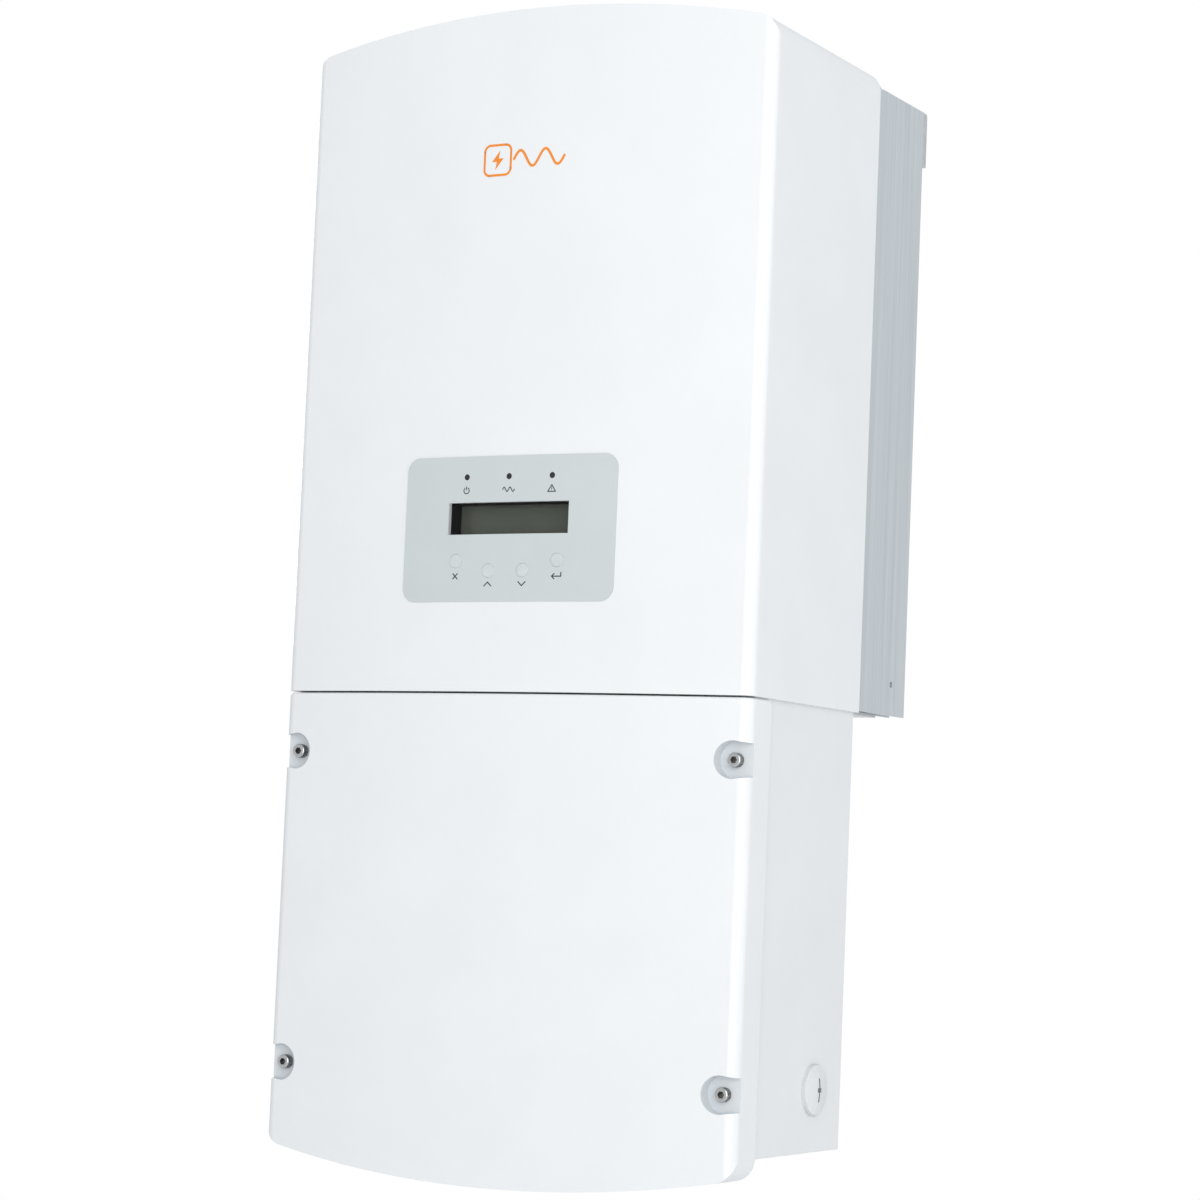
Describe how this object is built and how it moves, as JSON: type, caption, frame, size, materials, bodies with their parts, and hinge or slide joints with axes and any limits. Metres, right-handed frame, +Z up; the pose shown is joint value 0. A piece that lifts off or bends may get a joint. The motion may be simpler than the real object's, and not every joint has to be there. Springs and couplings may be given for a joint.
{
  "type": "string inverter",
  "caption": "Wall-hung string inverter for a roof's solar panels: bowed white casing with a display above a removable wiring cover, a finned heatsink behind, and a wall bracket.",
  "frame": {"origin": "centre of the wall bracket's four bolt holes, on the wall's face", "axes": "+X to the right of someone facing the inverter, +Y back into the wall, +Z up"},
  "size_m": [0.3562, 0.2629, 0.7327],
  "materials": {
    "white_paint": "white powder coat, fine satin texture",
    "box_paint": "white powder coat, fine satin texture",
    "heatsink_aluminium": "extruded, clear anodised",
    "galvanised_steel": "zinc coated sheet",
    "stainless_steel": "machined stainless steel",
    "inductor_aluminium": "die cast",
    "brass": "bright",
    "copper_winding": "enamelled copper wire",
    "green_board": "solder mask on glass fibre laminate",
    "module_resin": "moulded resin",
    "capacitor_sleeve": "shrink sleeve",
    "relay_plastic": "moulded",
    "black_plastic": "moulded",
    "grey_plastic": "moulded",
    "white_plastic": "moulded nylon",
    "terminal_grey": "moulded polyamide",
    "connector_green": "moulded",
    "lcd_panel": "unlit liquid crystal panel",
    "window_glass": "clear acrylic",
    "light_pipe": "smoked acrylic",
    "overlay_film": "printed polyester film, fine matt grain",
    "button_rubber": "silicone rubber",
    "black_rubber": "closed-cell seal",
    "seal_grey": "silicone seal",
    "grey_cable": "PVC",
    "wire_red": "PVC insulation",
    "wire_black": "PVC insulation",
    "wire_white": "PVC insulation",
    "wire_green": "PVC insulation"
  },
  "bodies": {
    "wall_bracket": {"wall_bracket": "galvanised_steel"},
    "inverter": {"upper_cover": "white_paint", "upper_gasket": "black_rubber", "upper_cover_screws": "stainless_steel", "heatsink": "heatsink_aluminium", "power_board": "green_board", "board_standoffs": "brass", "power_modules": "module_resin", "dc_link_capacitors": "capacitor_sleeve", "boost_inductors": "inductor_aluminium", "output_inductor": "inductor_aluminium", "emi_chokes": "copper_winding", "ac_relays": "relay_plastic", "current_sensors": "black_plastic", "control_board": "green_board", "control_components": "black_plastic", "display_board": "green_board", "lcd_module": "lcd_panel", "lcd_shroud": "black_plastic", "lcd_window": "window_glass", "led_light_pipes": "light_pipe", "display_overlay": "overlay_film", "button_switches": "black_plastic", "ribbon_cable": "grey_cable", "wiring_box": "box_paint", "box_brackets": "galvanised_steel", "cable_grommets": "black_rubber", "plug_seals": "seal_grey", "wiring_box_floor": "box_paint", "side_conduit_plugs": "white_plastic", "bottom_conduit_plugs": "white_plastic", "plug_locknuts": "grey_plastic", "com_port": "black_plastic", "dc_switch_body": "black_plastic", "dc_switch_dial": "grey_plastic", "terminal_mounting_plate": "galvanised_steel", "dc_terminal_block": "terminal_grey", "ac_terminal_block": "terminal_grey", "terminal_screws": "stainless_steel", "earth_bar": "brass", "comm_board": "green_board", "comm_connectors": "connector_green", "dc_wires_positive": "wire_red", "dc_wires_negative": "wire_black", "ac_wires": "wire_white", "earth_wire": "wire_green", "comm_cable": "grey_cable", "hanger_plate": "galvanised_steel", "mounting_screws": "stainless_steel"},
    "wiring_cover": {"wiring_cover": "white_paint", "wiring_cover_gasket": "black_rubber"},
    "dc_switch_knob": {"dc_switch_knob": "black_plastic"},
    "cover_screw_upper_left": {"cover_screw_upper_left": "stainless_steel"},
    "cover_screw_upper_right": {"cover_screw_upper_right": "stainless_steel"},
    "cover_screw_lower_left": {"cover_screw_lower_left": "stainless_steel"},
    "cover_screw_lower_right": {"cover_screw_lower_right": "stainless_steel"},
    "button_escape": {"button_escape": "button_rubber"},
    "button_up": {"button_up": "button_rubber"},
    "button_down": {"button_down": "button_rubber"},
    "button_enter": {"button_enter": "button_rubber"}
  },
  "joints": [
    {"name": "hanger_lift", "type": "slide", "parent": "wall_bracket", "child": "inverter", "axis": [0, 0, 1], "range_m": [0, 0.03]},
    {"name": "wiring_cover_removal", "type": "slide", "parent": "inverter", "child": "wiring_cover", "axis": [0, -1, 0], "range_m": [0, 0.1]},
    {"name": "dc_switch_turn", "type": "hinge", "parent": "inverter", "child": "dc_switch_knob", "pos_m": [-0.1665, -0.17, -0.425], "axis": [-1, 0, 0], "range_deg": [0, 90]},
    {"name": "cover_screw_upper_left_turn", "type": "hinge", "parent": "wiring_cover", "child": "cover_screw_upper_left", "pos_m": [-0.15615, -0.2434, -0.3724], "axis": [0, -1, 0], "continuous": true},
    {"name": "cover_screw_upper_right_turn", "type": "hinge", "parent": "wiring_cover", "child": "cover_screw_upper_right", "pos_m": [0.15615, -0.2434, -0.3724], "axis": [0, -1, 0], "continuous": true},
    {"name": "cover_screw_lower_left_turn", "type": "hinge", "parent": "wiring_cover", "child": "cover_screw_lower_left", "pos_m": [-0.15615, -0.2434, -0.5704], "axis": [0, -1, 0], "continuous": true},
    {"name": "cover_screw_lower_right_turn", "type": "hinge", "parent": "wiring_cover", "child": "cover_screw_lower_right", "pos_m": [0.15615, -0.2434, -0.5704], "axis": [0, -1, 0], "continuous": true},
    {"name": "button_escape_press", "type": "slide", "parent": "inverter", "child": "button_escape", "axis": [0, 1, 0], "range_m": [0, 0.0008], "stiffness_N_per_m": 2000},
    {"name": "button_up_press", "type": "slide", "parent": "inverter", "child": "button_up", "axis": [0, 1, 0], "range_m": [0, 0.0008], "stiffness_N_per_m": 2000},
    {"name": "button_down_press", "type": "slide", "parent": "inverter", "child": "button_down", "axis": [0, 1, 0], "range_m": [0, 0.0008], "stiffness_N_per_m": 2000},
    {"name": "button_enter_press", "type": "slide", "parent": "inverter", "child": "button_enter", "axis": [0, 1, 0], "range_m": [0, 0.0008], "stiffness_N_per_m": 2000}
  ]
}
